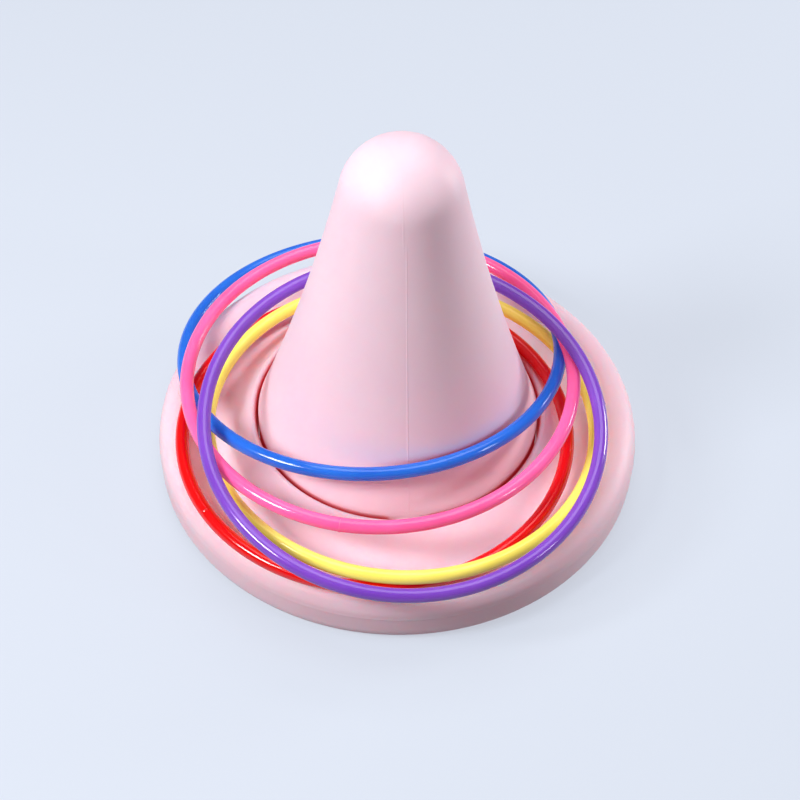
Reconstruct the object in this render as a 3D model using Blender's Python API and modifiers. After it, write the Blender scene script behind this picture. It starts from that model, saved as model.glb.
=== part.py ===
"""Ring toss set: a hollow cone clipped into a round base, with five tube rings dropped over it.

Metres, +Z up. The origin is the middle of the whole set as it lies, on the floor. The front
faces -Y, and the base's and the cone's axis stands AXIS_PLACE behind the origin.
The rings' heights and leans are not typed in: each ring is let down over the cone, in the order
in which it was thrown, and comes to rest on what is already there.
"""
import math

import bmesh
import bpy
import numpy as np
from mathutils import Matrix, Quaternion, Vector

# ---------------------------------------------------------------- driving dimensions
AXIS_PLACE = 0.0055  # the front ring reaches out further than the back ring, by twice this
BASE_RADIUS = 0.180
BASE_HEIGHT = 0.042  # the rounded outer rim
RIM_TOP_RADIUS = 0.017  # fillet from the rim's crest to its side
RIM_FOOT_RADIUS = 0.009  # fillet from the side to the underside
VALLEY_PLACE = 0.56  # where the dished top is lowest, from the rim of the socket to the crest
VALLEY_DEPTH = 0.0055  # below the rim's crest
SHOULDER_RADIUS = 0.004  # fillet round the base's socket
BASE_WALL = 0.0025
VENT_RADIUS = 0.0025  # blow hole in the underside

CONE_HEIGHT = 0.2975
DOME_RADIUS = 0.043
FOOT_RADIUS = 0.1045
FLANK_BOW = 0.0039  # how far the flank bows in from a straight line
CONE_WALL = 0.0022
SEAT_HEIGHT = 0.046  # where the cone's foot meets the base's shoulder
COLLAR_CLEARANCE = 0.010  # from the collar's lower edge to the floor
SOCKET_GAP = 0.0018  # all round, between the cone's collar and the socket

LUG_WIDTH = 0.016
LUG_LENGTH = 0.0055  # out from the collar
LUG_HEIGHT = 0.007
SLOT_WIDTH = 0.028
SLOT_DEPTH = 0.0115  # down from the seat
LUG_ANGLES = (math.radians(-85), math.radians(95))

RING_RADIUS = 0.142  # to the middle of the tube
TUBE_RADIUS = 0.005
TUBE_WALL = 0.0011
TUBE_BUTT_GAP = 0.0004  # between the two ends of a tube, over its plug
PLUG_GAP = 0.0003
REST_GAP = 0.0003  # between pieces that rest on each other
LEAN_PLAY = 0.02  # friction stops a ring when its slope has changed by this much
LEAN_STEPS = (0.035, 0.0005)  # the first and the last step of the search for its slope

CONE_STEPS = 40
BASE_STEPS = 48
RING_STEPS = 40
TUBE_SIDES = 8
MERGE = 0.00002
MOST_MOVES = 400  # of a ring on its way down
TOUCH = 0.00001  # a ring this near its rest gap has landed

# The rings from the bottom of the pile to the top: colour, where the middle lies in plan, the lean
# it starts from (the slope of its upward normal) and the angle of its joint, in degrees.
RINGS = (
    ("red", (0.84, 0.03, 0.02), (-0.0165, -0.0287), (0.006, 0.013), -146),
    ("yellow", (0.95, 0.72, 0.03), (0.0034, -0.0276), (0.022, -0.012), 100),
    ("blue", (0.03, 0.16, 0.72), (-0.0204, 0.0395), (-0.042, 0.120), -67),
    ("pink", (0.93, 0.12, 0.36), (-0.0132, -0.0012), (-0.025, 0.006), -100),
    ("purple", (0.25, 0.08, 0.64), (0.004, -0.0509), (0.018, -0.152), 8),
)
SHELL_COLOR = (0.83, 0.66, 0.75)
PLUG_COLOR = (0.85, 0.85, 0.86)


# ---------------------------------------------------------------- scene, materials, small helpers
def clear_scene():
    for obj in list(bpy.data.objects):
        bpy.data.objects.remove(obj, do_unlink=True)


def new_collection(name):
    collection = bpy.data.collections.new(name)
    bpy.context.scene.collection.children.link(collection)
    return collection


def plastic(name, color, roughness):
    """A plain moulded plastic."""
    material = bpy.data.materials.new(name)
    material.use_nodes = True
    shader = material.node_tree.nodes["Principled BSDF"]
    shader.inputs["Base Color"].default_value = (*color, 1.0)
    shader.inputs["Roughness"].default_value = roughness
    shader.inputs["Metallic"].default_value = 0.0
    return material


def add_mesh(name, bm, collection):
    """A new object from a bmesh, at the origin."""
    mesh = bpy.data.meshes.new(name)
    bm.to_mesh(mesh)
    bm.free()
    obj = bpy.data.objects.new(name, mesh)
    collection.objects.link(obj)
    return obj


def finish(obj, material):
    obj.data.materials.append(material)
    obj.data.shade_smooth()


def arc(centre, radius, start, end, count):
    """Points (r, z) along an arc, angles in degrees."""
    angles = np.radians(np.linspace(start, end, count))
    return [(centre[0] + radius * math.cos(a), centre[1] + radius * math.sin(a)) for a in angles]


def turned(name, outline, closed, steps, collection, angle=2 * math.pi):
    """A shape turned about Z from points (r, z) that run down its outer side."""
    bm = bmesh.new()
    verts = [bm.verts.new((r, 0.0, z)) for r, z in outline]
    for first, second in zip(verts, verts[1:] + verts[:1] if closed else verts[1:]):
        bm.edges.new((first, second))
    obj = add_mesh(name, bm, collection)
    screw = obj.modifiers.new("turn", "SCREW")
    screw.steps = steps
    screw.render_steps = steps
    screw.angle = angle
    screw.use_merge_vertices = angle == 2 * math.pi
    screw.merge_threshold = MERGE
    return obj


def block(name, size, centre, angle, collection):
    """A box, size along the radius, across it and up, turned to an angle about Z."""
    bm = bmesh.new()
    bmesh.ops.create_cube(bm, size=1.0)
    bmesh.ops.scale(bm, vec=size, verts=bm.verts)
    obj = add_mesh(name, bm, collection)
    obj.location = Matrix.Rotation(angle, 3, "Z") @ Vector(centre)
    obj.rotation_euler = (0.0, 0.0, angle)
    return obj


def as_cutter(obj):
    obj.hide_render = True
    obj.display_type = "WIRE"
    return obj


def boolean(obj, other, operation):
    modifier = obj.modifiers.new(other.name, "BOOLEAN")
    modifier.operation = operation
    modifier.object = other


# ---------------------------------------------------------------- outlines, as points (r, z)
def cone_outline():
    """The outside of the cone from its tip to its foot: a round tip and a flank that bows in."""
    centre = np.array((0.0, CONE_HEIGHT - DOME_RADIUS))
    foot = np.array((FOOT_RADIUS, SEAT_HEIGHT))
    reach = foot - centre
    tangent = math.atan2(reach[1], reach[0]) + math.acos(DOME_RADIUS / np.hypot(*reach))
    outward = np.array((math.cos(tangent), math.sin(tangent)))
    start = centre + DOME_RADIUS * outward
    share = np.linspace(0.0, 1.0, 9)[1:, None]
    flank = start + (foot - start) * share - outward * FLANK_BOW * 4 * share * (1 - share)
    tip = arc(centre, DOME_RADIUS, 90, math.degrees(tangent), 7)
    tip[0] = (0.0, CONE_HEIGHT)
    return tip + [tuple(point) for point in flank]


def valley_radius():
    """Where the dished top of the base is lowest, between the socket's lip and the crest."""
    lip = FOOT_RADIUS + SOCKET_GAP + SHOULDER_RADIUS
    crest = BASE_RADIUS - RIM_TOP_RADIUS
    return lip + (crest - lip) * VALLEY_PLACE


def base_top_outline():
    """The top and side of the base, from the socket's lip out and down to the floor."""
    socket = FOOT_RADIUS + SOCKET_GAP
    lip = (socket + SHOULDER_RADIUS, SEAT_HEIGHT - SHOULDER_RADIUS)
    crest = BASE_RADIUS - RIM_TOP_RADIUS
    valley = valley_radius()
    dish = BASE_HEIGHT - VALLEY_DEPTH
    rim = (crest, BASE_HEIGHT - RIM_TOP_RADIUS)
    foot = (BASE_RADIUS - RIM_FOOT_RADIUS, RIM_FOOT_RADIUS)
    return (
        arc(lip, SHOULDER_RADIUS, 180, 65, 4)
        + [((lip[0] + valley) / 2, (SEAT_HEIGHT + dish) / 2 - SHOULDER_RADIUS / 4)]
        + [(valley, dish), ((valley + crest) / 2, (dish + BASE_HEIGHT) / 2)]
        + arc(rim, RIM_TOP_RADIUS, 90, 0, 6)
        + arc(foot, RIM_FOOT_RADIUS, 0, -90, 4)
    )


def inset(outline, distance):
    """A closed outline moved inwards, to its right as it runs, by the same distance all round."""
    points = np.array(outline)
    edges = np.roll(points, -1, 0) - points
    normals = np.stack((edges[:, 1], -edges[:, 0]), 1) / np.linalg.norm(edges, axis=1)[:, None]
    before = np.roll(normals, 1, 0)
    mitre = before + normals
    mitre /= (mitre * normals).sum(1)[:, None]
    return [tuple(point) for point in points + distance * mitre]


# ---------------------------------------------------------------- base and cone
def make_base(parts, cutters, material):
    """A blow-moulded ring-shaped pan with a double wall and a slot for each of the cone's lugs."""
    socket = FOOT_RADIUS + SOCKET_GAP
    outline = base_top_outline() + [(socket, 0.0)]
    base = turned("base", outline, True, BASE_STEPS, parts)
    hollow = as_cutter(turned("base_hollow", inset(outline, BASE_WALL), True, BASE_STEPS, cutters))

    slot_out = socket + LUG_LENGTH + SOCKET_GAP
    slot_floor = SEAT_HEIGHT - SLOT_DEPTH
    slot_size = Vector((slot_out - FOOT_RADIUS + CONE_WALL, SLOT_WIDTH, 2 * SLOT_DEPTH))
    slot_centre = (slot_out - slot_size.x / 2, 0.0, slot_floor + slot_size.z / 2)
    wall_round_slot = Vector((2 * BASE_WALL, 2 * BASE_WALL, 2 * BASE_WALL))
    for number, angle in enumerate(LUG_ANGLES):
        pocket = block(f"pocket_{number}", slot_size + wall_round_slot, slot_centre, angle, cutters)
        boolean(hollow, as_cutter(pocket), "DIFFERENCE")
    boolean(base, hollow, "DIFFERENCE")
    for number, angle in enumerate(LUG_ANGLES):
        slot = block(f"slot_{number}", slot_size, slot_centre, angle, cutters)
        boolean(base, as_cutter(slot), "DIFFERENCE")

    bm = bmesh.new()
    bmesh.ops.create_cone(
        bm, cap_ends=True, segments=12, radius1=VENT_RADIUS, radius2=VENT_RADIUS, depth=4 * BASE_WALL
    )
    vent = as_cutter(add_mesh("vent", bm, cutters))
    vent.location = (0.0, valley_radius(), 0.0)
    boolean(base, vent, "DIFFERENCE")
    finish(base, material)


def make_cone(parts, cutters, material):
    """A blow-moulded cone, open below, with a collar that drops into the base and two lugs."""
    outline = cone_outline() + [(FOOT_RADIUS, COLLAR_CLEARANCE)]
    cone = turned("cone", outline, False, CONE_STEPS, parts)
    wall = cone.modifiers.new("wall", "SOLIDIFY")
    wall.thickness = CONE_WALL
    wall.offset = -1.0
    wall.use_even_offset = True

    lug_floor = SEAT_HEIGHT - SLOT_DEPTH + REST_GAP
    size = (LUG_LENGTH + CONE_WALL / 2, LUG_WIDTH, LUG_HEIGHT)
    centre = (FOOT_RADIUS + LUG_LENGTH - size[0] / 2, 0.0, lug_floor + LUG_HEIGHT / 2)
    for number, angle in enumerate(LUG_ANGLES):
        lug = block(f"lug_{number}", size, centre, angle, cutters)
        boolean(cone, as_cutter(lug), "UNION")
    finish(cone, material)


# ---------------------------------------------------------------- how a ring comes to rest
def ring_turn(lean, joint_angle):
    """The rotation of a ring whose upward normal has this slope, with its joint at this angle."""
    normal = Vector((lean[0], lean[1], 1.0))
    tilt = Vector((0.0, 0.0, 1.0)).rotation_difference(normal.normalized())
    return tilt @ Quaternion((0.0, 0.0, 1.0), math.radians(joint_angle))


def ring_corners():
    """The corners of a ring's middle line, which is a polygon of RING_STEPS sides."""
    angles = np.arange(RING_STEPS + 1) * 2 * math.pi / RING_STEPS
    return RING_RADIUS * np.stack((np.cos(angles), np.sin(angles), 0 * angles), 1)


def points_along(corners, per_side=9):
    """Evenly spaced points on each side of a polygon."""
    share = np.arange(per_side)[None, :, None] / per_side
    sides = corners[:-1, None] * (1 - share) + corners[1:, None] * share
    return sides.reshape(-1, corners.shape[1])


def distance_to_path(points, path):
    """How far the nearest of the points is from a path of straight pieces."""
    start, along = path[:-1], np.diff(path, axis=0)
    share = ((points[:, None] - start) * along).sum(2) / (along**2).sum(1)
    nearest = start + np.clip(share, 0, 1)[..., None] * along
    return np.linalg.norm(points[:, None] - nearest, axis=2).min()


def placed(points, plan, height, lean, joint_angle):
    turn = np.array(ring_turn(lean, joint_angle).to_matrix())
    return points @ turn.T + (plan[0], plan[1], height)


def let_down(plan, lean, joint_angle, height, outline, pile):
    """Lowers a ring from a height until it is REST_GAP from the first thing below it."""
    points = placed(points_along(ring_corners()), plan, height, lean, joint_angle)
    across = np.hypot(points[:, 0], points[:, 1])
    for _ in range(MOST_MOVES):
        gap = distance_to_path(np.stack((across, points[:, 2]), 1), outline) - TUBE_RADIUS
        for ring in pile:
            gap = min(gap, distance_to_path(points, ring) - 2 * TUBE_RADIUS)
        gap -= REST_GAP
        if gap < TOUCH:
            break
        points[:, 2] -= gap
        height -= gap
    return height


def settle(plan, lean, joint_angle, outline, pile):
    """The height and lean at which a ring lies lowest: a search in eight directions of lean."""
    thrown = lean = np.array(lean)
    height = let_down(plan, lean, joint_angle, CONE_HEIGHT + RING_RADIUS, outline, pile)
    step, last_step = LEAN_STEPS
    while step > last_step:
        tries = []
        for turn in np.arange(8) * math.pi / 4:
            tilted = lean + step * np.array((math.cos(turn), math.sin(turn)))
            if np.hypot(*(tilted - thrown)) > LEAN_PLAY:
                continue
            start = height + 2 * RING_RADIUS * step + TUBE_RADIUS
            lowest = let_down(plan, tilted, joint_angle, start, outline, pile)
            tries.append((lowest, *tilted))
        best = min(tries, default=(math.inf,))
        if best[0] < height - TOUCH / 10:
            height, lean = best[0], np.array(best[1:])
        else:
            step /= 2
    return height, lean


# ---------------------------------------------------------------- rings
def tube_outline(radius):
    """The tube's section as a closed outline, top, outside, bottom, inside."""
    return arc((RING_RADIUS, 0.0), radius, 90, 90 - 360 * (1 - 1 / TUBE_SIDES), TUBE_SIDES)


def make_ring(color_name, color, joint_angle, centre, lean, parts):
    """A tube bent into a ring, its ends butted together over a plug."""
    pose = bpy.data.objects.new(f"{color_name}_ring_pose", None)
    parts.objects.link(pose)
    pose.location = centre
    pose.rotation_mode = "QUATERNION"
    pose.rotation_quaternion = ring_turn(lean, joint_angle)

    gap_angle = TUBE_BUTT_GAP / RING_RADIUS
    step_angle = (2 * math.pi - gap_angle) / RING_STEPS
    tube = turned(
        f"{color_name}_ring", tube_outline(TUBE_RADIUS), True, RING_STEPS, parts, RING_STEPS * step_angle
    )
    tube.parent = pose
    tube.rotation_euler = (0.0, 0.0, gap_angle / 2)
    wall = tube.modifiers.new("wall", "SOLIDIFY")
    wall.thickness = TUBE_WALL
    wall.offset = -1.0
    wall.use_even_offset = True
    finish(tube, plastic(f"{color_name}_plastic", color, 0.22))

    # The plug reaches one side of the tube's polygon into each end, so both bend at the same place.
    corner = math.cos(math.pi / TUBE_SIDES)
    curve = bpy.data.curves.new(f"{color_name}_plug", "CURVE")
    curve.dimensions = "3D"
    curve.bevel_depth = TUBE_RADIUS - (TUBE_WALL + PLUG_GAP) / corner
    curve.bevel_resolution = 2
    curve.use_fill_caps = True
    spline = curve.splines.new("POLY")
    spline.points.add(2)
    reach = step_angle + gap_angle / 2
    for point, angle in zip(spline.points, (-reach, 0.0, reach)):
        point.co = (RING_RADIUS * math.cos(angle), RING_RADIUS * math.sin(angle), 0.0, 1.0)
    plug = bpy.data.objects.new(f"{color_name}_plug", curve)
    parts.objects.link(plug)
    plug.parent = pose
    curve.materials.append(plastic(f"{color_name}_plug_plastic", PLUG_COLOR, 0.5))


def make_pile(parts):
    """Lets the rings down one after another."""
    outline = np.array(cone_outline() + base_top_outline())
    pile = []
    for color_name, color, plan, lean, joint_angle in RINGS:
        height, lean = settle(plan, lean, joint_angle, outline, pile)
        make_ring(color_name, color, joint_angle, (plan[0], plan[1], height), lean, parts)
        pile.append(placed(ring_corners(), plan, height, lean, joint_angle))
        print(f"{color_name} ring rests at {height * 1000:.1f} mm, slope {lean[0]:.3f} {lean[1]:.3f}")


def main():
    clear_scene()
    parts = new_collection("ring_toss_set")
    cutters = new_collection("cutters")
    make_base(parts, cutters, plastic("base_polyethylene", SHELL_COLOR, 0.42))
    make_cone(parts, cutters, plastic("cone_polyethylene", SHELL_COLOR, 0.42))
    make_pile(parts)

    axis = bpy.data.objects.new("axis", None)
    for obj in list(parts.objects) + list(cutters.objects):
        if obj.parent is None:
            obj.parent = axis
    parts.objects.link(axis)
    axis.location = (0.0, AXIS_PLACE, 0.0)


main()
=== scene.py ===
# %% [markdown]
# # A ring toss set, dressed up round its measured frame
#
# The set is a hollow cone standing in a ring-shaped base, with five coloured rings thrown over it.
# The frame that is loaded first holds every part at its real size and place, as plain solids.
# The cells below put a finer surface in the place of each of them and give it the finish that the
# real material has. Places come from the frame, so a piece goes where its plain solid stands.

import bmesh
import bpy
import numpy as np
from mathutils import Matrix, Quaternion, Vector


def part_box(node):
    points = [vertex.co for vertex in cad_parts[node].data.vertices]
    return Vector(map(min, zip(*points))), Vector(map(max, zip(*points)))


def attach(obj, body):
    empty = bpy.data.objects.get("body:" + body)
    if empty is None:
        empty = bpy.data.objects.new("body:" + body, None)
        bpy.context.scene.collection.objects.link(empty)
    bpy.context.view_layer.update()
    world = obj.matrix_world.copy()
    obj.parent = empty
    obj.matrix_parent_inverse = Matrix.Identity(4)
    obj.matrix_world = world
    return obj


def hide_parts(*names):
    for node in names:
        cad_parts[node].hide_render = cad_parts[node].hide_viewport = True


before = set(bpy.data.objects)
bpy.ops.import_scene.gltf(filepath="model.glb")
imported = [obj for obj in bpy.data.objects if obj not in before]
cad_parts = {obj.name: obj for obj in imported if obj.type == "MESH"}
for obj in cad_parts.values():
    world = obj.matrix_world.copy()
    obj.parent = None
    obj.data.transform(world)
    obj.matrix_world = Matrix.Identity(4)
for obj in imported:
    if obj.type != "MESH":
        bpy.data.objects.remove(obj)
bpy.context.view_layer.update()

# %% [markdown]
# ## Small helpers
#
# A colour picked on a screen is an sRGB hex number, but a shader adds light up in linear values,
# so one function turns the first into the second.
# A material is a handful of nodes with links between them. One function starts an empty one, and
# one adds any kind of node to it.
# Every new piece is a sheet of points in rows and columns. A single function makes such a sheet
# into a mesh, closes it where it meets itself and turns its faces outwards. Drawing each piece with
# bmesh operators would work too, but a sheet keeps the formula of the shape in one place.


# %% Colours and nodes
MM = 0.001


def linear(hex_colour):
    """The linear RGBA of an sRGB hex colour: the low end is a straight line, the rest a power of 2.4."""
    srgb = np.array([int(hex_colour[place:place + 2], 16) for place in (1, 3, 5)]) / 255
    low = srgb / 12.92
    high = ((srgb + 0.055) / 1.055) ** 2.4
    return (*np.where(srgb <= 0.04045, low, high), 1.0)


def new_material(name):
    """A material without any nodes yet, and the tree that they go into."""
    material = bpy.data.materials.new(name)
    material.use_nodes = True
    material.node_tree.nodes.clear()
    return material, material.node_tree


def add_node(tree, kind, links=None, **settings):
    """Adds a node, sets its properties or the sockets of the same name, and links its inputs."""
    node = tree.nodes.new("ShaderNode" + kind)
    for name, value in settings.items():
        if hasattr(node, name):
            setattr(node, name, value)
        else:
            node.inputs[name.replace("_", " ")].default_value = value
    for socket, source in (links or {}).items():
        tree.links.new(source, node.inputs[socket])
    return node


# %% Sheets of points
MERGE_DISTANCE = 1e-7


def sheet_mesh(name, points, loop_rows=False, loop_columns=True, uv=None):
    """A mesh over a grid of points, where row r and column c meet r + 1 and c + 1.

    A direction that loops joins its last line to its first. The faces are turned over if the volume
    that they enclose comes out negative. A row that shrinks to one point is merged there.
    """
    rows, columns = points.shape[:2]
    index = np.arange(rows * columns).reshape(rows, columns)
    if loop_rows:
        index = np.vstack((index, index[:1]))
    if loop_columns:
        index = np.hstack((index, index[:, :1]))
    corners = (index[:-1, :-1], index[:-1, 1:], index[1:, 1:], index[1:, :-1])
    faces = np.stack(corners, -1).reshape(-1, 4)
    flat = points.reshape(-1, 3)
    a, b, c, d = (flat[faces[:, corner]] for corner in range(4))
    volume = (a * np.cross(b - a, c - a)).sum() + (a * np.cross(c - a, d - a)).sum()
    order = slice(None) if volume > 0 else slice(None, None, -1)
    mesh = bpy.data.meshes.new(name)
    mesh.from_pydata(flat.tolist(), [], faces[:, order].tolist())
    if uv is not None:
        corners = (uv[:-1, :-1], uv[:-1, 1:], uv[1:, 1:], uv[1:, :-1])
        per_corner = np.stack(corners, 2).reshape(-1, 4, 2)[:, order]
        mesh.uv_layers.new(name="UVMap").data.foreach_set("uv", per_corner.ravel())
    row_size = np.ptp(points, axis=1).max(1)
    if row_size.min() < MERGE_DISTANCE / 100:
        bm = bmesh.new()
        bm.from_mesh(mesh)
        bmesh.ops.remove_doubles(bm, verts=bm.verts, dist=MERGE_DISTANCE)
        bm.to_mesh(mesh)
        bm.free()
    mesh.shade_smooth()
    return mesh


def add_piece(mesh, body, nodes):
    """Puts a mesh in the scene as a piece that rides on a body and stands for CAD nodes."""
    piece = bpy.data.objects.new(mesh.name, mesh)
    bpy.context.scene.collection.objects.link(piece)
    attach(piece, body)
    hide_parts(*nodes)
    print(f"{piece.name}: {len(mesh.polygons)} faces, on {body}")
    return piece


# %% [markdown]
# ## Sizes
#
# The overall sizes are read from the frame's own boxes, and so is the axis of the base and the cone,
# which stands a little behind the middle of the whole set. The rest are the moulder's details: fillets,
# walls, and the two places, front and back, where the halves of the mould meet. Those two places
# carry a parting line, a slot in the base and a lug on the cone.

# %% Read the sizes
cone_low, cone_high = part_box("cone")
base_low, base_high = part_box("base")
AXIS_PLACE = (base_low.y + base_high.y) / 2
CONE_TOP = cone_high.z
COLLAR_FOOT = cone_low.z
FOOT_RADIUS = cone_high.x
BASE_RADIUS = base_high.x
SEAT_HEIGHT = base_high.z
SOCKET_GAP = 0.0018
SOCKET_RADIUS = FOOT_RADIUS + SOCKET_GAP
LUG_REACH = 0.0055
PARTING_ANGLES = np.radians((-85.0, 95.0))
print(f"cone {CONE_TOP * 1000:.1f} mm tall, foot radius {FOOT_RADIUS * 1000:.1f} mm")
print(f"base radius {BASE_RADIUS * 1000:.1f} mm, seat at {SEAT_HEIGHT * 1000:.1f} mm")
print(f"the axis stands {AXIS_PLACE * 1000:.1f} mm behind the middle of the set")

# %% [markdown]
# ## Outlines that are turned
#
# The cone and the base are blown in a mould, so each is a thin shell turned about one axis. Half of
# its section is drawn as a line of points, from arcs, straight runs and one smooth curve, and the
# line is carried round. A lathe, in other words. Where the shell changes on its way round, as at a
# slot or a lug, two outlines with as many points are drawn and one fades into the other.


# %% Lines of points
def arc(centre, radius, start, stop, count):
    """Points on a circle from one angle to another, in degrees."""
    angle = np.radians(np.linspace(start, stop, count))
    return np.stack((centre[0] + radius * np.cos(angle), centre[1] + radius * np.sin(angle)), 1)


def run(start, stop, count):
    """Evenly spaced points on a straight line, both ends included."""
    return np.linspace(start, stop, count)


def smooth_step(value):
    """0 below 0, 1 above 1, and 3x^2 - 2x^3 between them, which is level at both ends."""
    value = np.clip(value, 0.0, 1.0)
    return value * value * (3 - 2 * value)


def turned(outline, angles):
    """Carries an outline round the axis: outline[row, column] is (distance from the axis, height)."""
    distance, height = outline[..., 0], outline[..., 1]
    back = AXIS_PLACE + distance * np.sin(angles)
    return np.stack((distance * np.cos(angles), back, height), -1)


def angles_round(count, centres, offsets):
    """Even angles round the circle, with a closer set of offsets added at each centre, in radians."""
    even = np.linspace(-np.pi, np.pi, count, endpoint=False)
    close = (np.asarray(centres)[:, None] + np.asarray(offsets)).ravel()
    close = (close + np.pi) % (2 * np.pi) - np.pi
    apart = np.abs((even[:, None] - close + np.pi) % (2 * np.pi) - np.pi).min(1)
    angles = np.sort(np.concatenate((even[apart > np.pi / count / 2], close)))
    return angles[np.diff(angles, append=angles[0] + 2 * np.pi) > 1e-5]


def turn_from(angles, centre):
    """The signed angle from a centre to each angle, the short way round."""
    return (angles - centre + np.pi) % (2 * np.pi) - np.pi


def share_near_parting(angles, offset, radius, fade):
    """1 within an angle of either parting place and 0 beyond it, with a smooth step between them
    that takes a length, the fade, at a radius."""
    return sum(
        smooth_step(0.5 + (offset - np.abs(turn_from(angles, place))) * radius / fade)
        for place in PARTING_ANGLES
    )


# %% [markdown]
# ## The base
#
# The base is one blow-moulded ring, hollow inside, with a dished top that catches the rings and a
# fat rounded rim. Its section is a closed line: over the lip of the socket, down into the dish, up
# to the crest, round the rim and back along the underside. A fine bead runs round the rim where the
# two halves of the mould met. A box cut with a boolean would give a slot with hard, ragged edges,
# so the slots are a second section that the first one fades into over about a millimetre.

# %% The base's section
RIM_FILLET = 0.017
CREST_RADIUS = BASE_RADIUS - RIM_FILLET
CREST_HEIGHT = 0.042
LIP_FILLET = 0.004
LIP_END = 75  # degrees: the lip's arc stops here, and the dish carries on at the same slope
RIM_FOOT_FILLET = 0.009
SOCKET_FOOT_FILLET = 0.0015
DISH_DEPTH = 0.0055
DISH_PLACE = 0.56
BEAD_HEIGHT = 0.00035
BEAD_WIDTH = 0.0006
BEAD_LEVEL = 0.0237
SLOT_OUT = SOCKET_RADIUS + LUG_REACH + SOCKET_GAP
SLOT_FLOOR = SEAT_HEIGHT - 0.0115
SLOT_HALF_WIDTH = 0.014
SLOT_EDGE = 0.0009

lip_centre = np.array((SOCKET_RADIUS + LIP_FILLET, SEAT_HEIGHT - LIP_FILLET))
dish_radius = lip_centre[0] + (CREST_RADIUS - lip_centre[0]) * DISH_PLACE


def dish(start, count):
    """The top from a distance near the lip out to the crest: a cubic falls to the lowest ring, and
    a smooth step climbs from there to the crest."""
    lip_end = arc(lip_centre, LIP_FILLET, LIP_END, LIP_END, 1)[0]
    fall, low = lip_end[1], CREST_HEIGHT - DISH_DEPTH
    slope = -np.tan(np.radians(90 - LIP_END)) * (dish_radius - lip_end[0])
    distance = np.linspace(start, CREST_RADIUS, count)
    t = np.clip((distance - lip_end[0]) / (dish_radius - lip_end[0]), 0, 1)
    down = low + (fall - low) * (1 - smooth_step(t)) + slope * t * (1 - t) ** 2
    up = DISH_DEPTH * smooth_step((distance - dish_radius) / (CREST_RADIUS - dish_radius))
    return np.stack((distance, down + up), 1)


def base_section(with_slot):
    """The closed section of the base, plain or through a slot, with as many points either way."""
    socket_foot = (SOCKET_RADIUS, SOCKET_FOOT_FILLET)
    floor_start = (SOCKET_RADIUS, SLOT_FLOOR - SLOT_EDGE)
    if with_slot:
        top = dish(SLOT_OUT + SLOT_EDGE, 48)
        edge_centre = (SLOT_OUT + SLOT_EDGE, top[0, 1] - SLOT_EDGE)
        inside = np.concatenate((
            run(socket_foot, floor_start, 8),
            arc((SOCKET_RADIUS + SLOT_EDGE, SLOT_FLOOR - SLOT_EDGE), SLOT_EDGE, 180, 90, 4)[1:],
            run((SOCKET_RADIUS + SLOT_EDGE, SLOT_FLOOR), (SLOT_OUT - SLOT_EDGE, SLOT_FLOOR), 5)[1:],
            arc((SLOT_OUT - SLOT_EDGE, SLOT_FLOOR + SLOT_EDGE), SLOT_EDGE, -90, 0, 4)[1:],
            run((SLOT_OUT, SLOT_FLOOR + SLOT_EDGE), (SLOT_OUT, edge_centre[1]), 7)[1:],
            arc(edge_centre, SLOT_EDGE, 180, 90, 8)[1:-1],
        ))
    else:
        inside = np.concatenate((
            run(socket_foot, floor_start, 8),
            run(floor_start, (SOCKET_RADIUS, lip_centre[1]), 12)[1:],
            arc(lip_centre, LIP_FILLET, 180, LIP_END, 13)[1:-1],
        ))
        top = dish(inside[-1, 0] + 0.0003, 48)
    rim = arc((CREST_RADIUS, CREST_HEIGHT - RIM_FILLET), RIM_FILLET, 90, 0, 22)[1:]
    side = run(rim[-1], (BASE_RADIUS, RIM_FOOT_FILLET), 34)[1:]
    foot = arc((BASE_RADIUS - RIM_FOOT_FILLET, RIM_FOOT_FILLET), RIM_FOOT_FILLET, 0, -90, 12)[1:]
    foot_centre = (SOCKET_RADIUS + SOCKET_FOOT_FILLET, SOCKET_FOOT_FILLET)
    under = run(foot[-1], (foot_centre[0], 0.0), 20)[1:]
    inner_foot = arc(foot_centre, SOCKET_FOOT_FILLET, -90, -180, 5)[1:-1]
    return np.concatenate((inside, top, rim, side, foot, under, inner_foot))


plain, slotted = base_section(False), base_section(True)
print("points in the base's section:", len(plain), len(slotted))

# %% Carry the base's section round
slot_offset = SLOT_HALF_WIDTH / SLOT_OUT
edge_offsets = np.linspace(-SLOT_EDGE, SLOT_EDGE, 9) / SLOT_OUT
inner_offsets = np.linspace(-0.8, 0.8, 9) * slot_offset
close_offsets = np.concatenate((inner_offsets, slot_offset + edge_offsets, -slot_offset + edge_offsets))
base_angles = angles_round(240, PARTING_ANGLES, close_offsets)
slot_share = share_near_parting(base_angles, slot_offset, SLOT_OUT, SLOT_EDGE)
base_outline = plain[:, None] + (slotted - plain)[:, None] * slot_share[None, :, None]
distance, height = base_outline[..., 0], base_outline[..., 1]
# The side below and above the bead is drawn in by the bead's height, so the bead is the widest place.
on_side = smooth_step((distance - BASE_RADIUS + 0.004) / 0.003)
bead = np.exp(-(((height - BEAD_LEVEL) / BEAD_WIDTH) ** 2))
base_outline[..., 0] -= on_side * BEAD_HEIGHT * (1 - bead)
base = add_piece(
    sheet_mesh("moulded_base", turned(base_outline, base_angles), loop_rows=True),
    "target", ["base"],
)

# %% [markdown]
# ## The cone
#
# The cone is a second blown shell, open below. Its round tip runs into a flank that bows in a
# little, and a straight collar drops into the base's socket. Both halves of the mould leave a
# parting line down the front and the back, a sixth of a millimetre proud, with a small kink near
# the tip. Below the seat a lug at the front and one at the back snap into the base's slots.
# The whole shell is one line from the tip down the outside, round the collar's edge and back up the
# inside, so its wall has a real thickness.

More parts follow.
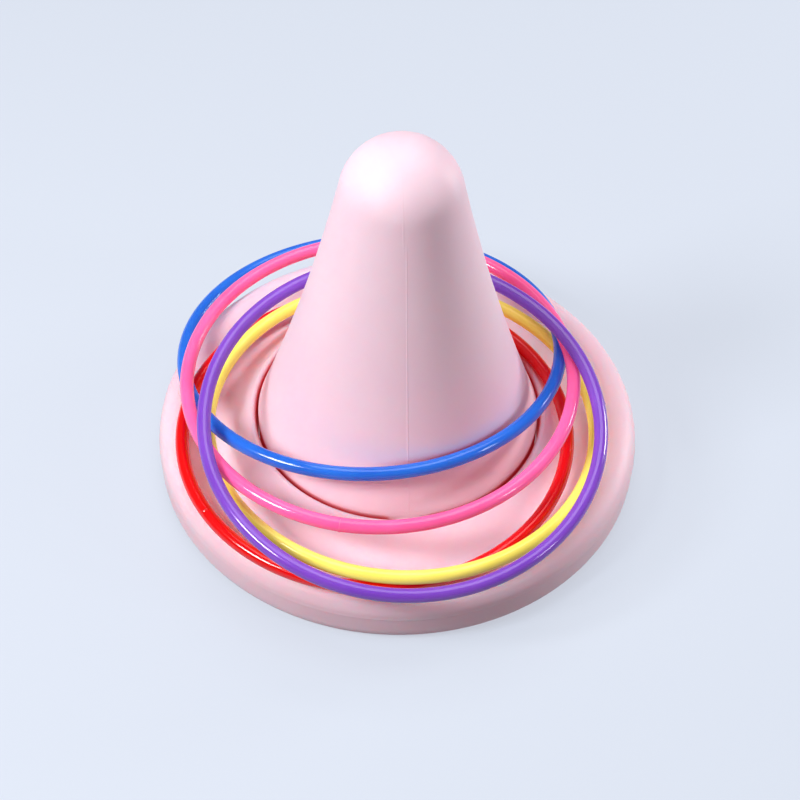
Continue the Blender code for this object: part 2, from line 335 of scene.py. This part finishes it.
# %% The cone's section
DOME_RADIUS = 0.043
FLANK_BOW = 0.0039
CONE_WALL = 0.0022
LUG_FLOOR = SLOT_FLOOR + 0.0003
LUG_TOP = LUG_FLOOR + 0.007
LUG_HALF_WIDTH = 0.008
LUG_CHAMFER = 0.0009
LUG_DRAFT = 0.0002
LUG_FACE = 0.92  # the share of the lug's reach at which its chamfer starts


def shell_line(inset, tip_count, flank_count):
    """The tip and flank at a depth below the outside: an arc that touches a line, which bows in by a
    parabola. Every point is then moved along its own normal by the depth."""
    centre = np.array((0.0, CONE_TOP - DOME_RADIUS))
    foot = np.array((FOOT_RADIUS, SEAT_HEIGHT))
    reach = foot - centre
    meet = np.arctan2(reach[1], reach[0]) + np.arccos(DOME_RADIUS / np.hypot(*reach))
    outward = np.array((np.cos(meet), np.sin(meet)))
    share = np.linspace(0, 1, flank_count)[1:, None]
    start = centre + DOME_RADIUS * outward
    flank = start + (foot - start) * share - outward * FLANK_BOW * 4 * share * (1 - share)
    line = np.concatenate((arc(centre, DOME_RADIUS, 90, np.degrees(meet), tip_count), flank))
    along = np.gradient(line, axis=0)
    normal = np.stack((-along[:, 1], along[:, 0]), 1) / np.linalg.norm(along, axis=1)[:, None]
    line = line + normal * inset
    line[0, 0] = 0.0
    return line


def cone_section(with_lug):
    """From the tip down the outside, round the collar's lower edge and up the inside to the tip."""
    outside = shell_line(0.0, 22, 46)
    reach = LUG_REACH if with_lug else 0.0
    face, tip = FOOT_RADIUS + reach * LUG_FACE, FOOT_RADIUS + reach
    middle = CONE_WALL / 2
    collar = np.concatenate((
        run((FOOT_RADIUS, SEAT_HEIGHT), (FOOT_RADIUS, LUG_TOP), 4)[1:],
        run((FOOT_RADIUS, LUG_TOP), (face, LUG_TOP - LUG_DRAFT), 4)[1:],
        run((tip, LUG_TOP - LUG_CHAMFER), (tip, LUG_FLOOR + LUG_CHAMFER), 4),
        run((face, LUG_FLOOR + LUG_DRAFT), (FOOT_RADIUS, LUG_FLOOR), 4),
        run((FOOT_RADIUS, LUG_FLOOR), (FOOT_RADIUS, COLLAR_FOOT + middle), 6)[1:],
    ))
    edge = arc((FOOT_RADIUS - middle, COLLAR_FOOT + middle), middle, 0, -180, 9)[1:-1]
    inner_collar = run((FOOT_RADIUS - CONE_WALL, COLLAR_FOOT + middle),
                       (FOOT_RADIUS - CONE_WALL, SEAT_HEIGHT - 0.001), 5)
    inside = shell_line(-CONE_WALL, 14, 26)[::-1]
    return np.concatenate((outside, collar, edge, inner_collar, inside[1:])), len(outside)


cone_plain, outside_count = cone_section(False)
cone_lugged = cone_section(True)[0]
print("points in the cone's section:", len(cone_plain))

# %% Carry the cone's section round
LUG_FADE = 0.0008
CLOSE_REACH = 0.11  # radians to either side of a parting line in which the columns crowd together
CROWDING = 3.2
lug_offset = LUG_HALF_WIDTH / FOOT_RADIUS
line_offsets = CLOSE_REACH * np.sinh(np.linspace(-CROWDING, CROWDING, 41)) / np.sinh(CROWDING)
edge_offsets = np.linspace(-0.0006, 0.0006, 7) / FOOT_RADIUS
close_offsets = np.concatenate((line_offsets, lug_offset + edge_offsets, -lug_offset + edge_offsets))
cone_angles = angles_round(200, PARTING_ANGLES, close_offsets)
lug_share = share_near_parting(cone_angles, lug_offset, FOOT_RADIUS, LUG_FADE)
cone_outline = cone_plain[:, None] + (cone_lugged - cone_plain)[:, None] * lug_share[None, :, None]

# %% Raise the parting lines
PARTING_HEIGHT = 0.00016
PARTING_WIDTH = 0.00045
KINK = 0.0022
KINK_START = 0.052  # this far below the tip the line starts to step aside
KINK_RUN = 0.008
LINE_FADE = 0.012
outer = np.arange(len(cone_plain)) < outside_count
distance, height = cone_outline[..., 0], cone_outline[..., 1]
kink = KINK * smooth_step((height - CONE_TOP + KINK_START) / KINK_RUN)
fade = smooth_step((CONE_TOP - height) / LINE_FADE) * outer[:, None]
# A bell curve across each line, cut off before it reaches the other line's side.
line = sum(
    np.exp(-(((distance * turn_from(cone_angles, angle) + kink) / PARTING_WIDTH) ** 2))
    * (np.abs(turn_from(cone_angles, angle)) < 0.5)
    for angle in PARTING_ANGLES
)
cone_outline[..., 0] += line * fade * PARTING_HEIGHT
cone = add_piece(
    sheet_mesh("moulded_cone", turned(cone_outline, cone_angles)),
    "target", ["cone"],
)

# %% [markdown]
# ## The rings
#
# A throwing ring is a length of extruded plastic tube, bent round until its ends butt together over
# a short plug. Each lies at its own lean on the pile. Its middle, its lean and the place of its joint
# are all read from the vertices of its plain solid: the flattest direction of the cloud of
# points is the normal, and the plug shows where the joint is. The plain ring is a polygon, so the
# smooth one runs halfway between its corners and the middles of its sides.
# The tube is one closed surface, out along the outside and back through the bore, because a tube
# that is open at its ends has to show its wall there. Its ends are pressed together over the warm plug,
# which squeezes out a nub the size of a pinhead at one place round each joint.

# %% Read each ring's place
COLOURS = ("red", "yellow", "blue", "pink", "purple")
RING_BODIES = {colour: f"ring_{number}_{colour}" for number, colour in enumerate(COLOURS, 1)}
CAD_SIDES = 40


def node_points(name):
    """All the vertices of a CAD node, as rows of x, y, z."""
    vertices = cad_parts[name].data.vertices
    points = np.empty(len(vertices) * 3)
    vertices.foreach_get("co", points)
    return np.unique(points.reshape(-1, 3).round(7), axis=0)


def ring_place(colour):
    """(middle, towards the joint, sideways, upwards, radius) of a ring, in the frame's metres.

    The least of the three principal directions is the normal. The middle is the point from which
    the points of the solid lie evenly far in the ring's plane, by least squares on |p|^2 = 2 p.c + k.
    """
    points = node_points(colour + "_ring")
    middle = points.mean(0)
    up = np.linalg.svd(points - middle, full_matrices=False)[2][2]
    up = up * np.sign(up[2])
    across = node_points(colour + "_plug").mean(0) - middle
    across -= up * (across @ up)
    across /= np.linalg.norm(across)
    side = np.cross(up, across)
    flat = (points - middle) @ np.stack((across, side), 1)
    terms = np.column_stack((2 * flat, np.ones(len(flat))))
    shift = np.linalg.lstsq(terms, (flat ** 2).sum(1), rcond=None)[0][:2]
    middle = middle + shift @ np.stack((across, side))
    radius = np.linalg.norm(flat - shift, axis=1)
    corner_radius = (radius.min() + radius.max()) / 2
    return middle, across, side, up, corner_radius * (1 + np.cos(np.pi / CAD_SIDES)) / 2


places = {colour: ring_place(colour) for colour in COLOURS}
for colour, (middle, across, side, up, radius) in places.items():
    print(f"{colour}: middle {(middle * 1000).round(1)} mm, radius {radius * 1000:.2f} mm")


# %% A tube along a ring
def tube_sheet(place, way, thickness, sides):
    """A tube along an arc of the ring: way is the angle from the joint, row by row, and thickness
    the distance from the tube's middle, for a whole row or for each point round it."""
    middle, across, side, up, radius = place
    round_tube = np.linspace(0, 2 * np.pi, sides, endpoint=False)
    outward = np.cos(way)[:, None] * across + np.sin(way)[:, None] * side
    thickness = np.reshape(thickness, (len(way), -1))
    reach = radius + thickness * np.cos(round_tube)
    lift = thickness * np.sin(round_tube)
    return middle + reach[..., None] * outward[:, None] + lift[..., None] * up


def along_and_round(way, sides, radius):
    """The UV map of a closed tube sheet: share of the way round, and metres along the ring."""
    share = np.linspace(0, 1, sides + 1)
    along = np.append(way, way[0]) * radius
    return np.stack(np.broadcast_arrays(share[None], along[:, None]), -1)


# %% The five tubes
TUBE_RADIUS = 0.005
TUBE_BORE = 0.0039
TUBE_SIDES = 40
BUTT_GAP = 0.00006
END_ROUNDING = 0.00006
NUB_PLACES = {"red": 60, "yellow": 0, "blue": 50, "pink": -28, "purple": 0}  # degrees round the tube
NUB_HEIGHT = 0.0006
NUB_WIDTH = 0.0009


def make_ring(colour):
    """Out along the outside of the tube, over its rounded end, and back through its bore. Where the
    ends were pressed together a nub stands out, a bell curve along the tube and round it. The rows
    crowd together near the joint, so that the nub and the rounded ends come out smooth."""
    place = places[colour]
    radius = place[4]
    gap = BUTT_GAP / 2 / radius
    close = gap + np.array((END_ROUNDING, 0.0003, 0.0006, 0.0009, 0.0013, 0.0019, 0.0027)) / radius
    far = np.linspace(close[-1], 2 * np.pi - close[-1], 232)[1:-1]
    even = np.concatenate((close, far, 2 * np.pi - close[::-1]))
    turn = np.linspace(0, np.pi / 2, 4)
    start = gap + END_ROUNDING / radius * (1 - np.sin(turn))
    wall = np.full(len(even), TUBE_RADIUS)
    inner = even[::4][::-1]
    way = np.concatenate((start[::-1], even[1:-1], 2 * np.pi - start, inner))
    rounded = TUBE_RADIUS - END_ROUNDING * (1 - np.cos(turn[::-1]))
    thickness = np.concatenate((rounded[::-1], wall[1:-1], rounded, np.full(len(inner), TUBE_BORE)))
    round_tube = np.linspace(0, 2 * np.pi, TUBE_SIDES, endpoint=False)
    along = turn_from(way, 0.0) * radius
    across = turn_from(round_tube, np.radians(NUB_PLACES[colour])) * TUBE_RADIUS
    nub = np.exp(-((along[:, None] / NUB_WIDTH) ** 2) - (across / NUB_WIDTH) ** 2)
    outside = (thickness > TUBE_BORE)[:, None]
    points = tube_sheet(place, way, thickness[:, None] + NUB_HEIGHT * nub * outside, TUBE_SIDES)
    uv = along_and_round(way, TUBE_SIDES, radius)
    mesh = sheet_mesh(colour + "_tube", points, loop_rows=True, uv=uv)
    return add_piece(mesh, RING_BODIES[colour], [colour + "_ring"])


tubes = {colour: make_ring(colour) for colour in COLOURS}

# %% The five plugs
PLUG_RADIUS = TUBE_BORE - 0.0003
PLUG_ROUNDING = 0.0015


def make_plug(colour):
    """A solid pin inside the joint, as long as its CAD solid, with rounded ends."""
    place = places[colour]
    radius = place[4]
    from_middle = (node_points(colour + "_plug") - place[0]) @ np.stack(place[1:3], 1)
    half = np.abs(np.arctan2(from_middle[:, 1], from_middle[:, 0])).max()
    turn = np.linspace(0, np.pi / 2, 6)
    end = half - PLUG_ROUNDING / radius * (1 - np.sin(turn))
    way = np.concatenate((-end[::-1], np.linspace(-end[0], end[0], 12)[1:-1], end))
    rounded = PLUG_RADIUS * np.cos(turn)
    size = np.concatenate((rounded[::-1], np.full(10, PLUG_RADIUS), rounded))
    points = tube_sheet(place, way, np.maximum(size, 0.0), 20)
    mesh = sheet_mesh(colour + "_joint_plug", points)
    return add_piece(mesh, RING_BODIES[colour], [colour + "_plug"])


plugs = {colour: make_plug(colour) for colour in COLOURS}

# %% [markdown]
# ## Blow-moulded polyethylene
#
# The cone and base are high-density polyethylene, tinted a pale pink. It is a soft, waxy plastic
# that lets light in a few millimetres, which warms its shadows. On top of that, a painted deep red
# shade and a faint painted red glow fill the gaps, the hollows and the places under the rings, wherever
# the ambient occlusion is low. The base, which has two walls with air between them, glows deeper than
# the cone with its single wall. A blown shell is never quite even: its surface wanders a little over a
# few centimetres, which bends the highlights, and it carries the fine grain of a blasted mould.
# Polyethylene bends light by 1.51 to 1.54.

# %% The shell's material
DRIFT_SIZE = 60 * MM  # thick and thin places in the wall
WAVE_SIZE = 28 * MM
GRAIN_SIZE = 0.9 * MM  # the real grain is about a tenth of this, too fine to show
# Painted shade: how far the occlusion looks for gaps and hollows, and the deep red that they are painted
# with.
PAINTED_SHADE_REACH = 9 * MM
PAINTED_CREVICE_SHADE_RED = "#C8282E"


def shell_material(name, tint, shade, depth, glow):
    """Waxy polyethylene: subsurface glow to a depth in millimetres, a slow waviness and a fine mould
    grain in the bump, a drift of colour from the uneven wall, and painted shade. That shade is a deep
    red colour and a faint red painted glow wherever ambient occlusion is low, in gaps and hollows and
    under the rings."""
    material, tree = new_material(name)
    place = add_node(tree, "TexCoord").outputs["Object"]
    drift = add_node(tree, "TexNoise", {"Vector": place}, Scale=1 / DRIFT_SIZE, Detail=3.0)
    colour = add_node(tree, "ValToRGB", {"Fac": drift.outputs["Fac"]})
    colour.color_ramp.elements[0].position = 0.3
    colour.color_ramp.elements[0].color = linear(shade)
    colour.color_ramp.elements[1].position = 0.7
    colour.color_ramp.elements[1].color = linear(tint)
    # Painted shade and painted glow: where the occlusion is low, the colour is mixed towards a deep red
    # and a faint red glow is added.
    occlusion_for_painted_shade = add_node(tree, "AmbientOcclusion", samples=8, Distance=PAINTED_SHADE_REACH)
    painted_shade_share = add_node(
        tree, "MapRange", {"Value": occlusion_for_painted_shade.outputs["AO"]},
        From_Min=0.15, From_Max=0.65, To_Min=1.0, To_Max=0.0,
    )
    body = add_node(
        tree, "MixRGB", {"Fac": painted_shade_share.outputs["Result"], "Color1": colour.outputs["Color"]},
        Color2=linear(PAINTED_CREVICE_SHADE_RED),
    )
    painted_crevice_glow = add_node(
        tree, "MixRGB", {"Fac": painted_shade_share.outputs["Result"]},
        Color1=(0.0, 0.0, 0.0, 1.0), Color2=linear(PAINTED_CREVICE_SHADE_RED),
    )
    waves = add_node(tree, "TexNoise", {"Vector": place}, Scale=1 / WAVE_SIZE, Detail=2.0)
    grain = add_node(tree, "TexNoise", {"Vector": place}, Scale=1 / GRAIN_SIZE, Detail=4.0)
    slow = add_node(
        tree, "Bump", {"Height": waves.outputs["Fac"]}, Strength=0.12, Distance=0.4 * MM
    )
    fine = add_node(
        tree, "Bump", {"Height": grain.outputs["Fac"], "Normal": slow.outputs["Normal"]},
        Strength=0.25, Distance=0.06 * MM,
    )
    rough = add_node(
        tree, "MapRange", {"Value": drift.outputs["Fac"]}, To_Min=0.46, To_Max=0.54
    )
    skin = add_node(
        tree, "BsdfPrincipled",
        {
            "Base Color": body.outputs["Color"],
            "Roughness": rough.outputs["Result"],
            "Normal": fine.outputs["Normal"],
            "Emission Color": painted_crevice_glow.outputs["Color"],
        },
        IOR=1.53,
        Specular_IOR_Level=0.35,
        Emission_Strength=0.11,
        Subsurface_Weight=glow,
        Subsurface_Radius=(1.0, 0.22, 0.18),
        Subsurface_Scale=depth * MM,
    )
    add_node(tree, "OutputMaterial", {"Surface": skin.outputs["BSDF"]})
    return material


base.data.materials.append(shell_material(
    "base_blown_polyethylene", "#F8D6E2", "#F5D0DD", depth=10, glow=0.9
))
cone.data.materials.append(shell_material(
    "cone_blown_polyethylene", "#F8DAE6", "#F6D5E3", depth=2.2, glow=0.45
))

# %% [markdown]
# ## Extruded tube
#
# The rings are extruded low-density polyethylene with a strong pigment. The die leaves them glossy,
# with fine lines that run lengthwise, so a lamp shows in them as one long thin streak. The UV map
# holds the share of the way round the tube and the metres along it. The share is turned into a
# sine and a cosine first, which lets the lines close on themselves instead of showing a seam.
# Light also goes through the thin wall and comes out below in a deeper hue. In its place, a weak, even
# painted glow in that hue covers the whole tube.


# %% The tube's material
LINES_PER_RADIUS = 7.0  # a line every 0.7 mm or so round a tube of 5 mm radius; real ones are finer
PIGMENT_SIZE = 35 * MM


def tube_material(name, tint, shade, painted_glow_colour):
    """Glossy pigmented tube: lengthwise die lines in the bump, a faint change of pigment, and a weak,
    even painted glow in a deeper hue, in place of light that has crossed the wall."""
    material, tree = new_material(name)
    both = add_node(tree, "SeparateXYZ", {"Vector": add_node(tree, "UVMap").outputs["UV"]})
    turn = add_node(tree, "Math", {0: both.outputs["X"]}, operation="MULTIPLY")
    turn.inputs[1].default_value = 2 * np.pi
    across = add_node(tree, "Math", {0: turn.outputs[0]}, operation="COSINE")
    upward = add_node(tree, "Math", {0: turn.outputs[0]}, operation="SINE")
    place = add_node(
        tree, "CombineXYZ", {"X": across.outputs[0], "Y": upward.outputs[0], "Z": both.outputs["Y"]}
    )
    lines = add_node(
        tree, "TexNoise", {"Vector": place.outputs["Vector"]}, Scale=LINES_PER_RADIUS, Detail=3.0
    )
    drift = add_node(
        tree, "TexNoise", {"Vector": add_node(tree, "TexCoord").outputs["Object"]},
        Scale=1 / PIGMENT_SIZE, Detail=2.0,
    )
    colour = add_node(tree, "ValToRGB", {"Fac": drift.outputs["Fac"]})
    colour.color_ramp.elements[0].position = 0.3
    colour.color_ramp.elements[0].color = linear(shade)
    colour.color_ramp.elements[1].position = 0.7
    colour.color_ramp.elements[1].color = linear(tint)
    bump = add_node(
        tree, "Bump", {"Height": lines.outputs["Fac"]}, Strength=0.2, Distance=0.08 * MM
    )
    rough = add_node(tree, "MapRange", {"Value": lines.outputs["Fac"]}, To_Min=0.10, To_Max=0.16)
    skin = add_node(
        tree, "BsdfPrincipled",
        {
            "Base Color": colour.outputs["Color"],
            "Roughness": rough.outputs["Result"],
            "Normal": bump.outputs["Normal"],
        },
        IOR=1.51,
        Subsurface_Weight=0.3,
        Subsurface_Radius=linear(tint)[:3],
        Subsurface_Scale=1.5 * MM,
        # Painted glow, even over the whole tube.
        Emission_Color=linear(painted_glow_colour),
        Emission_Strength=0.16,
    )
    add_node(tree, "OutputMaterial", {"Surface": skin.outputs["BSDF"]})
    return material


# For each ring: its tint, its shade, and the colour of its painted glow.
TUBE_TINTS = {
    "red": ("#E3080C", "#D80609", "#D00000"),
    "yellow": ("#FFF67A", "#FDF268", "#DCA800"),
    "blue": ("#2A76DC", "#226AD0", "#1030C0"),
    "pink": ("#FF70B2", "#FC62A4", "#FF3050"),
    "purple": ("#844EC6", "#7945BC", "#5A1498"),
}
for colour, tints in TUBE_TINTS.items():
    tubes[colour].data.materials.append(tube_material(colour + "_extruded_tube", *tints))

# %% [markdown]
# ## The plug in each joint
#
# The plug is cut from natural, unpigmented polyethylene rod. Only a hair's breadth of it shows between
# the two ends of the tube, as a pale, slightly milky line, so its clouds are all the detail it needs.

# %% The plug's material
CLOUD_SIZE = 2 * MM
plug_material, tree = new_material("natural_polyethylene")
cloud = add_node(
    tree, "TexNoise", {"Vector": add_node(tree, "TexCoord").outputs["Object"]}, Scale=1 / CLOUD_SIZE
)
milk = add_node(tree, "ValToRGB", {"Fac": cloud.outputs["Fac"]})
milk.color_ramp.elements[0].color = linear("#E4E1DA")
milk.color_ramp.elements[1].color = linear("#F5F3EE")
skin = add_node(
    tree, "BsdfPrincipled", {"Base Color": milk.outputs["Color"]},
    Roughness=0.4, IOR=1.52, Subsurface_Weight=0.3, Subsurface_Scale=2 * MM,
)
add_node(tree, "OutputMaterial", {"Surface": skin.outputs["BSDF"]})
for plug in plugs.values():
    plug.data.materials.append(plug_material)

# %% [markdown]
# ## Floor, lamps and camera
#
# The set stands on a plain pale floor in a daylight studio. A compact soft box at the left lights it
# and draws the fine streaks along the rings, and a broad one above fills the shade. A low compact one
# behind at the right edges the cone, and a small one in front at the right puts a thin light on the
# rings there. The air round them is a weak pale pink, as if it came off the shell itself.
# The floor has a light of its own, which keeps it an even pale blue and doesn't fall on the set.

# %% Floor
FLOOR_HALF = 9.0
floor_mesh = bpy.data.meshes.new("floor")
corners = np.array(((-1, -1, 0), (1, -1, 0), (1, 1, 0), (-1, 1, 0))) * FLOOR_HALF
floor_mesh.from_pydata(corners.tolist(), [], [(0, 1, 2, 3)])
floor = bpy.data.objects.new("floor", floor_mesh)
bpy.context.scene.collection.objects.link(floor)
floor.visible_diffuse = False
paper, tree = new_material("matt_paper_floor")
skin = add_node(
    tree, "BsdfPrincipled", Base_Color=linear("#7B8088"), Roughness=0.9, Specular_IOR_Level=0.1,
    Emission_Color=linear("#E1E9F6"), Emission_Strength=0.66,
)
add_node(tree, "OutputMaterial", {"Surface": skin.outputs["BSDF"]})
floor_mesh.materials.append(paper)
print("floor", FLOOR_HALF * 2, "m wide")

# %% Lamps
LAMPS_AIM = Vector((0, AXIS_PLACE, 0.1))
world = bpy.data.worlds.new("studio_air")
bpy.context.scene.world = world
world.use_nodes = True
air = world.node_tree.nodes["Background"]
air.inputs["Color"].default_value = linear("#F8E2EA")
air.inputs["Strength"].default_value = 0.20
bpy.context.scene.view_settings.view_transform = "Standard"


def add_lamp(name, towards, away, side, power):
    """A square soft box that looks at the middle of the set from a direction and a distance."""
    lamp = bpy.data.lights.new(name, "AREA")
    lamp.shape = "RECTANGLE"
    lamp.size = lamp.size_y = side
    lamp.energy = power
    holder = bpy.data.objects.new(name, lamp)
    bpy.context.scene.collection.objects.link(holder)
    direction = Vector(towards).normalized()
    holder.location = LAMPS_AIM + direction * away
    holder.rotation_mode = "QUATERNION"
    holder.rotation_quaternion = direction.to_track_quat("Z", "Y")
    print(name, "at", [round(value, 2) for value in holder.location])


add_lamp("soft_box_left", (-0.67, -0.34, 0.66), 1.7, 0.5, 25.5)
add_lamp("soft_box_above", (0.05, 0.25, 1.0), 2.2, 1.6, 24.0)
add_lamp("soft_box_back_right", (0.88, 0.42, 0.20), 1.8, 0.5, 14.0)
add_lamp("small_box_right", (0.83, -0.38, 0.42), 1.8, 0.25, 4.0)

# %% Camera
CAMERA_DISTANCE = 1.4
CAMERA_HEIGHT_ANGLE = np.radians(49.4)
CAMERA_ROLL = np.radians(1.03)
camera = bpy.data.objects.new("camera", bpy.data.cameras.new("camera"))
bpy.context.scene.collection.objects.link(camera)
bpy.context.scene.camera = camera
away = Vector((0, -np.cos(CAMERA_HEIGHT_ANGLE), np.sin(CAMERA_HEIGHT_ANGLE)))
camera.location = Vector((0, AXIS_PLACE, 0)) + away * CAMERA_DISTANCE
camera.rotation_mode = "QUATERNION"
camera.rotation_quaternion = away.to_track_quat("Z", "Y") @ Quaternion((0, 0, 1), CAMERA_ROLL)
camera.data.sensor_width = 36.0
camera.data.lens = 81.9
camera.data.shift_x = 0.0036
camera.data.shift_y = 0.0579
camera.data.clip_start = 0.05
print("camera at", [round(value, 3) for value in camera.location])
